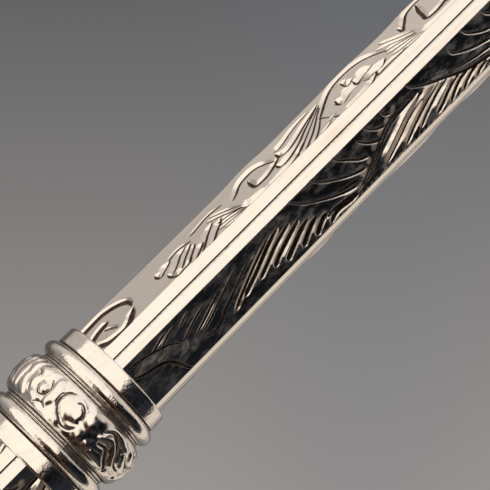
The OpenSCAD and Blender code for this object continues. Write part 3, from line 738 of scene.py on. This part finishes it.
# low swells of the beaten sheet under the scrolls, as (p, half length, height)
SWELLS = [(2.0, 3.0, 0.1), (21.8, 2.4, 0.2), (29.5, 3.0, 0.08), (36.0, 3.6, 0.24), (46.4, 3.2, 0.24)]


def face_grid():
    """Positions p, as a column, and q, as a row, of the cells of a face."""
    return P_START + CELL * np.arange(ROWS)[:, None], CELL * np.arange(COLS)[None, :] - FACE_HALF


def frost_patches(maps, patches, strength=1.0):
    """Matt patches that lean along the feathers."""
    P, Q = face_grid()
    for p, q, r in patches:
        d = np.hypot((P - p) * 0.85, Q - q - 0.35 * (P - p))
        maps["frost"] = np.maximum(maps["frost"], strength * (1 - smooth(d, 0.6 * r, 1.15 * r)))


def swell(maps, swells):
    """Raises the sheet towards its far edge, so that the outline waves."""
    P, Q = face_grid()
    for p, half, tall in swells:
        maps["height"] += tall * np.exp(-((P - p) / half) ** 2) * smooth(Q, 0.2, 2.6)


def engraved_face(groups):
    """Maps of a wide face: height in mm, black (tarnish and painted shadow in the cuts) and matt, with all
    the strokes of the groups cut.
    """
    maps = {key: np.zeros((ROWS, COLS)) for key in ("height", "dark", "frost")}
    for strokes, kind_name in groups:
        engrave(maps, strokes, kind_name)
    return maps


def scroll_face():
    maps = engraved_face(SCROLL)
    swell(maps, SWELLS)
    return maps


def fern_face():
    maps = engraved_face(FERN)
    frost_patches(maps, FROSTED)
    frost_patches(maps, SHEEN, SHEEN_FROST)
    return maps


# ---------------------------------------------------------------- faceted tubes
SIDES = {"scroll_left": 180, "fern_front": 270, "scroll_right": 0, "fern_back": 90}
UPPER_STEP, LOWER_STEP = 0.058, 0.08  # width of a mesh cell
LENGTHWAYS = 1.6  # a cell is this much longer than wide
EDGE_ROUND = 0.14
FILED = 0.36  # half the width of the filed strip along one edge of each wide face
GROOVE_DEPTH, GROOVE_HALF = 0.14, 0.17
GROOVE_DARK, GROOVE_DARK_HALF = 0.42, 0.15
PATTERN_SHIFT = 12.0  # the lower tube shows the pattern from this far up


def step_up(x, at, half):
    return np.clip((x - at + half) / (2 * half), 0, 1)


def quarter_profile(step):
    """Across one wide face and half of each narrow neighbour: positions along and out from the face, turn."""
    half = FACE_HALF + NARROW / 2
    w = np.linspace(-half, half, 2 * int(half / step) + 1)
    crisp = step_up(w, FACE_HALF, EDGE_ROUND)
    filed = [step_up(-w, FACE_HALF + side * FILED, EDGE_ROUND / 2) for side in (-1, 1)]
    turn = math.pi / 4 * (crisp - sum(filed) / 2)
    dw = w[1] - w[0]
    mid = (turn[1:] + turn[:-1]) / 2
    q = np.concatenate([[0], np.cumsum(np.cos(mid) * dw)])
    n = np.concatenate([[0], np.cumsum(-np.sin(mid) * dw)])
    c = len(w) // 2
    return w, q - q[c], n - n[c] + FACE_APOTHEM, turn


def groove(w):
    """Depth and darkening of the line along the middle of each narrow face, where two quarters meet."""
    d = FACE_HALF + NARROW / 2 - np.abs(w)
    return -GROOVE_DEPTH * np.exp(-(d / GROOVE_HALF) ** 2), GROOVE_DARK * np.exp(-(d / GROOVE_DARK_HALF) ** 2)


def tube_quarter(tube, side, span, maps, pattern_z, step, mat):
    """One wide face of a tube with half of each narrow neighbour; the maps' p counts up from pattern_z."""
    azimuth = math.radians(SIDES[side])
    normal, up = np.array([math.cos(azimuth), math.sin(azimuth), 0]), np.array([0, 0, 1.0])
    across = np.cross(normal, up)
    w, q, n, turn = quarter_profile(step)
    z = np.linspace(*span, int((span[1] - span[0]) / (LENGTHWAYS * step)) + 1)
    face = smooth(FACE_HALF - w, 0.0, 0.1) * smooth(FACE_HALF - FILED + w, -0.05, 0.1)
    face = face[:, None] * np.ones_like(z)[None, :]
    p, q_all = np.broadcast_arrays(z[None, :] - pattern_z, q[:, None])
    h, dark, frost = (face * sample(maps[key], p, q_all) for key in ("height", "dark", "frost"))
    line, tarnish_and_shade = groove(w)
    out = np.cos(turn)[:, None, None] * normal + np.sin(turn)[:, None, None] * across
    v = q[:, None, None] * across + n[:, None, None] * normal + z[None, :, None] * up
    v = v + out * (line[:, None] + h)[:, :, None]
    # "cut" carries the black of the cuts, tarnish and painted shadow, and the darkening of the groove
    attrs = {"cut": np.maximum(tarnish_and_shade[:, None], dark), "frost": frost,
             "patina": face * side.startswith("fern")}
    name = tube + "_" + side
    mesh = mesh_from_arrays(name, v.reshape(-1, 3), grid_quads(len(w), len(z)), attrs)
    add_skin(name, mesh, tube, mat)


# ---------------------------------------------------------------- collars
FILLET_R = 6.05
BEAD_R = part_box("upper_ring")[1][0] / MM
RING_H, COVE_H, BEAD_H, FILLET_BEVEL = 3.9, 0.4, 1.6, 0.22  # the tube's skin shows above this height
FOOT_INNER_R, TOP_INNER_R = 5.2, 4.0  # where the ring's skin ends inside the band and the tube
RING_SEGMENTS = 240
UNEVEN, UNEVEN_WAVES = 0.03, 7


def ring_profile():
    """Cove with turned lines, half-round bead, seam and bevelled fillet of a collar ring, fillet upwards."""
    pts = [(FOOT_INNER_R, 0.0), (FILLET_R + 0.02, 0.0), (FILLET_R + 0.1, 0.08), (FILLET_R - 0.02, 0.2)]
    pts += arc(FILLET_R + 0.22, COVE_H - 0.06, 0.24, 200, 130, 5)
    pts += arc(BEAD_R - BEAD_H / 2, COVE_H + BEAD_H / 2, BEAD_H / 2, -64, 64, 24)
    seam = COVE_H + BEAD_H
    pts += [(FILLET_R - 0.1, seam + 0.08), (FILLET_R + 0.02, seam + 0.2), (FILLET_R, RING_H - FILLET_BEVEL),
            (FILLET_R - 0.06, RING_H - 0.08), (FILLET_R - FILLET_BEVEL, RING_H), (TOP_INNER_R, RING_H)]
    return resample(rounded(pts, 0.05, 2), 0.16)


def ring_dark_lines(r, z):
    """Darker lines in the seam, the cove's lines and round the foot of the bead."""
    lines = [(0.0, 0.07), (COVE_H - 0.1, 0.08), (COVE_H + BEAD_H + 0.06, 0.12)]
    return np.max([np.exp(-((z - at) / wide) ** 2) for at, wide in lines], 0) * (r > 5.5)


def uneven(seed, angle, z):
    """Slow unevenness round a turned part: a few random sine waves of the angle and height."""
    rng = np.random.default_rng(seed)
    k = rng.integers(2, 17, UNEVEN_WAVES)
    phase = rng.uniform(0, 2 * math.pi, UNEVEN_WAVES)
    lean = rng.uniform(-1.5, 1.5, UNEVEN_WAVES)
    return UNEVEN * sum(np.sin(a * angle + p + t * z) for a, p, t in zip(k, phase, lean)) / UNEVEN_WAVES


def collar(name, node, up, mat):
    """Turned ring at the cove end of its CAD node, with the fillet upwards or downwards."""
    z0 = low(node) if up else high(node) - RING_H
    profile = ring_profile()
    tarnish_and_shade = ring_dark_lines(*profile.T)
    if not up:
        profile, tarnish_and_shade = np.stack([profile[:, 0], RING_H - profile[:, 1]], 1)[::-1], tarnish_and_shade[::-1]
    angle = np.linspace(0, 2 * math.pi, RING_SEGMENTS, endpoint=False)[:, None]
    z = np.tile(profile[:, 1] + z0, (RING_SEGMENTS, 1))
    r = profile[:, 0] + uneven(SEED + int(z0), angle, z)
    verts = np.stack([r * np.cos(angle), r * np.sin(angle), z], -1).reshape(-1, 3)
    quads = grid_quads(RING_SEGMENTS, len(profile), wrap=True)
    mesh = mesh_from_arrays(name, verts, quads, {"cut": np.tile(tarnish_and_shade, (RING_SEGMENTS, 1))})
    add_skin(name, mesh, node, mat)


# ---------------------------------------------------------------- cast floral band
# The relief is drawn unrolled: u in mm round the band, v up from its middle. One motif covers half the round.
BAND_R = 7.0
BAND_ROUND = 2 * math.pi * BAND_R
BAND_HALF = (BAND_Z1 - BAND_Z0) / 2
BAND_STEP = 0.065
MOTIF = BAND_ROUND / 2
MOTIF_STARTS = (18.0, 18.0 + MOTIF)
BAND_RIM_R, BAND_SWELL = 6.12, 0.93  # radius at the rims and how much the plain cushion swells between them
GRAIN_HEIGHT, GRAIN_WAVES = 0.006, 8
RELIEF_SHARE, GROOVE_SHARE = 0.66, 0.8  # how much of the drawn heights and depths the worn casting keeps
MOUNDS = [  # (points, half width, height): soft swellings of the casting
    ([(2.0, 1.2), (1.7, 0.0), (2.1, -1.3)], 0.42, 0.22),
    ([(2.9, 1.4), (2.5, 0.0), (2.9, -1.5)], 0.45, 0.26),
    ([(3.8, 1.5), (3.4, 0.1), (3.7, -1.5)], 0.45, 0.26),
    ([(4.7, 1.5), (4.35, 0.9), (4.5, 0.3)], 0.42, 0.26),
    ([(4.4, -0.2), (4.6, -1.0), (5.2, -1.6)], 0.45, 0.24),
    ([(5.5, 1.2), (6.2, 1.2)], 0.5, 0.27),
    ([(6.9, -0.2), (6.95, -0.15)], 0.5, 0.34),
    ([(5.6, 0.3), (5.75, -0.5)], 0.5, 0.24),
    ([(6.2, -1.25), (7.2, -1.3)], 0.45, 0.24),
    ([(7.9, 1.3), (8.25, 0.3), (8.1, -0.9)], 0.55, 0.28),
    ([(9.8, 0.6), (10.5, 0.3), (10.3, -0.2)], 1.15, 0.36),
    ([(9.2, -1.0), (9.9, -1.5)], 0.5, 0.16),
    ([(10.9, -0.95), (10.95, -0.9)], 0.42, 0.2),
    ([(12.3, 1.0), (12.9, 0.6)], 0.95, 0.3),
    ([(12.0, -0.8), (12.3, -1.3)], 0.6, 0.16),
    ([(13.2, -0.9), (13.7, -1.15)], 0.3, 0.2),
    ([(14.2, 1.0), (15.0, 1.6), (16.2, 1.5), (17.4, 1.1)], 0.42, 0.34),
    ([(13.9, 0.2), (15.1, 0.75), (16.1, 0.1), (16.9, -0.75), (18.1, -1.1)], 0.34, 0.36),
    ([(14.2, -1.2), (15.4, -1.3), (16.4, -1.6)], 0.4, 0.24),
    ([(17.6, 0.5), (18.4, -0.1), (19.4, -0.5)], 0.4, 0.32),
    ([(18.4, 1.3), (19.4, 0.8), (20.4, 0.5)], 0.42, 0.32),
    ([(19.2, -1.4), (20.2, -1.0), (21.1, -0.2), (21.6, 0.9)], 0.42, 0.28),
]
GROOVES = [  # (points, half width, depth): lines cut into the casting afterwards
    ([(9.6, 1.4), (9.05, 0.95), (8.85, 0.2), (9.15, -0.5), (9.85, -1.1), (10.6, -1.45), (11.3, -1.3),
      (11.65, -0.9)], 0.13, 0.26),
    ([(10.4, 0.95), (10.75, 1.15), (11.3, 0.85), (11.6, 0.3), (11.5, -0.1)], 0.12, 0.22),
    ([(6.35, 0.3), (6.35, -0.35), (6.85, -0.75), (7.45, -0.5), (7.55, 0.3), (7.1, 0.95)], 0.1, 0.22),
    ([(5.0, 0.95), (5.4, 0.8), (5.65, 0.35)], 0.1, 0.18),
    ([(5.3, -0.2), (5.6, -0.95), (6.1, -1.2)], 0.08, 0.14),
    ([(7.0, -1.6), (7.7, -1.2), (8.3, -1.4)], 0.1, 0.18),
    ([(14.0, 0.85), (14.7, 1.35), (15.6, 1.15), (16.4, 0.5), (17.2, -0.4), (18.3, -0.7)], 0.2, 0.34),
    ([(14.3, -0.25), (15.3, -0.1), (16.0, -0.75), (17.0, -1.45)], 0.26, 0.32),
    ([(18.0, 0.7), (18.9, 0.3), (19.9, 0.1)], 0.14, 0.24),
    ([(19.4, 1.5), (20.6, 1.2), (21.2, 0.4)], 0.12, 0.22),
]
HOLLOWS = [  # (u, v, radius, depth)
    (13.4, -0.4, 0.9, 0.12), (10.9, -0.75, 0.55, 0.12), (15.2, 0.2, 0.7, 0.16), (17.6, -1.4, 0.6, 0.2),
]


def wrapped(U, u):
    """Distance round the band from u, the short way."""
    return (U - u + BAND_ROUND / 2) % BAND_ROUND - BAND_ROUND / 2


def line_distance(U, V, points):
    """Distance to a curve on the band, measured longer towards the curve's ends."""
    xy, _, share = spline(points, 0.09)
    d = np.full(U.shape, 1e9)
    for (x, y), s in zip(xy, share):
        taper = 0.6 + 0.4 * math.sin(math.pi * s)
        np.minimum(d, np.hypot(wrapped(U, x), V - y) / taper, out=d)
    return d


def neighbours(grid):
    """Sum of each cell's four neighbours, wrapping round the band."""
    padded = np.pad(grid, ((0, 0), (1, 1)), mode="edge")
    return padded[:, 2:] + padded[:, :-2] + np.roll(grid, 1, 0) + np.roll(grid, -1, 0)


def soften(grid, passes):
    for _ in range(passes):
        grid = (neighbours(grid) + 2 * grid) / 6
    return grid


def creases(relief):
    """1 in the narrow valleys of the relief, where tarnish stays."""
    return smooth(neighbours(relief) - 4 * relief, 0.003, 0.012)


def along_band(points, start):
    return [(start + s, y) for s, y in points]


def band_relief():
    """Places round and up the band, height of the casting over its cushion, and tarnish in its cut lines."""
    n_u, n_v = int(BAND_ROUND / BAND_STEP), int(2 * BAND_HALF / BAND_STEP) + 1
    u = BAND_ROUND * np.arange(n_u) / n_u
    v = np.linspace(-BAND_HALF, BAND_HALF, n_v)
    U, V = np.meshgrid(u, v, indexing="ij")
    relief = np.zeros(U.shape)
    for start in MOTIF_STARTS:
        for points, half, tall in MOUNDS:
            d = line_distance(U, V, along_band(points, start))
            np.maximum(relief, tall * np.sqrt(np.clip(1 - (d / half) ** 2, 0, 1)), out=relief)
        for s, y, r, deep in HOLLOWS:
            relief -= deep * np.exp(-(np.hypot(wrapped(U, start + s), V - y) / r) ** 2)
    relief = soften(RELIEF_SHARE * relief, 6)
    tarnish_and_shade = 0.45 * creases(relief)
    for start in MOTIF_STARTS:
        for points, half, deep in GROOVES:
            line = np.exp(-(line_distance(U, V, along_band(points, start)) / half) ** 2)
            relief -= GROOVE_SHARE * deep * line
            np.maximum(tarnish_and_shade, line, out=tarnish_and_shade)
    return u[:, None], v[None, :], soften(relief, 2), tarnish_and_shade


def cast_band(mat):
    """Cushion of soft leaves, a rosette and C-scrolls, dark only in the cut lines and along its rims."""
    u, v, relief, tarnish_and_shade = band_relief()
    angle = u / BAND_R
    rng = np.random.default_rng(SEED)
    turns = rng.integers(9, 50, GRAIN_WAVES)
    lean, phase = rng.uniform(-5, 5, GRAIN_WAVES), rng.uniform(0, 6, GRAIN_WAVES)
    grain = GRAIN_HEIGHT * sum(np.sin(t * angle + a * v + p) for t, a, p in zip(turns, lean, phase))
    edge = np.abs(v) / BAND_HALF
    cushion = np.clip(1 - edge ** 3.2, 0, 1)
    r = BAND_RIM_R + BAND_SWELL * cushion ** 0.5 + (relief + grain) * np.minimum(1, 2.5 * cushion)
    z = (BAND_Z0 + BAND_Z1) / 2 + v + 0 * angle
    verts = np.stack([r * np.cos(angle), r * np.sin(angle), z], -1).reshape(-1, 3)
    cut = np.maximum(0.85 * tarnish_and_shade, 0.62 * smooth(edge, 0.86, 0.99))
    mesh = mesh_from_arrays("cast_floral_band", verts, grid_quads(*relief.shape, wrap=True), {"cut": cut})
    add_skin("cast_floral_band", mesh, "cast_band", mat)


# ---------------------------------------------------------------- build
def finish_cad_nodes(finishes):
    for name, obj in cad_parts.items():
        finish = next((f for word, f in NODE_FINISH.items() if word in name), "polished_silver")
        obj.data.materials.clear()
        obj.data.materials.append(finishes[finish])


def tubes(mat):
    scroll, fern = scroll_face(), fern_face()
    upper, lower = (COLLAR_TOP - TUCK, HEAD_FOOT + TUCK), (POMMEL_TOP - TUCK, LOWER_TOP + TUCK)
    for side in SIDES:
        maps = scroll if side.startswith("scroll") else fern
        tube_quarter("upper_tube", side, upper, maps, COLLAR_TOP, UPPER_STEP, mat)
        tube_quarter("lower_tube", side, lower, maps, POMMEL_TOP - PATTERN_SHIFT, LOWER_STEP, mat)


def collars(mat):
    collar("upper_collar_ring", "upper_ring", True, mat)
    collar("lower_collar_ring", "lower_ring", False, mat)
    collar("pommel_collar_ring", "pommel_collar", True, mat)
    collar("head_collar_ring", "head_collar", False, mat)


def build():
    finishes = {name: silver(name, **values) for name, values in FINISHES.items()}
    finishes["iron_shot"] = iron("iron_shot")
    finish_cad_nodes(finishes)
    tubes(finishes["engraved_silver"])
    cast_band(finishes["cast_silver"])
    collars(finishes["worn_silver"])


build()
studio_world()
floor()
camera()
bpy.context.scene.view_settings.view_transform = "Standard"
